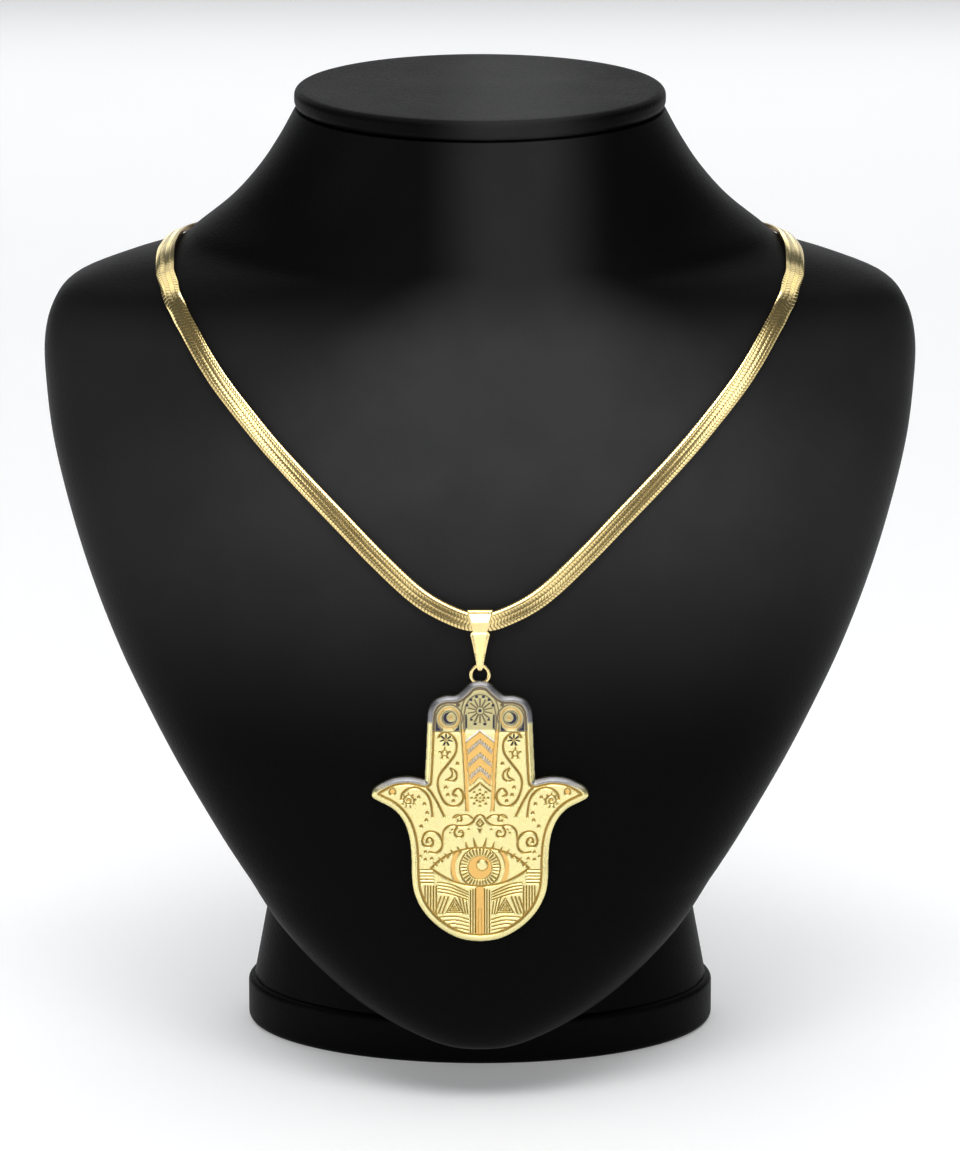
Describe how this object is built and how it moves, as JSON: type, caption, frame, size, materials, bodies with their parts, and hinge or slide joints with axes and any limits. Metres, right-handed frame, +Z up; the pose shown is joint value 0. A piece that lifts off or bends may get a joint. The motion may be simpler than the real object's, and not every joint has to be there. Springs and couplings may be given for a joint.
{
  "type": "hamsa pendant necklace on a neck bust",
  "caption": "Gold hamsa hand pendant with raised ornament and an eye, on a flat herringbone chain, resting on a black neck bust with a round cap and an oval base.",
  "frame": {"origin": "centre of the base's underside, on the table", "axes": "+Z is up, the pendant and the chest face -Y, and +X is to the right as seen from the front"},
  "size_m": [0.1968, 0.1082, 0.2195],
  "materials": {
    "black_cover": "matt black leatherette with a fine grain",
    "gold": "polished",
    "chain_gold": "polished flat woven links"
  },
  "bodies": {
    "stand": {"bust_body": "black_cover", "bust_cap": "black_cover", "bust_base": "black_cover", "chain": "chain_gold", "clasp": "gold", "bail": "gold"},
    "pendant": {"hand": "gold"}
  },
  "joints": [
    {"name": "pendant_swing", "type": "hinge", "parent": "stand", "child": "pendant", "pos_m": [0, -0.05445, 0.09962], "axis": [-1, 0, 0], "range_deg": [0, 70]}
  ]
}
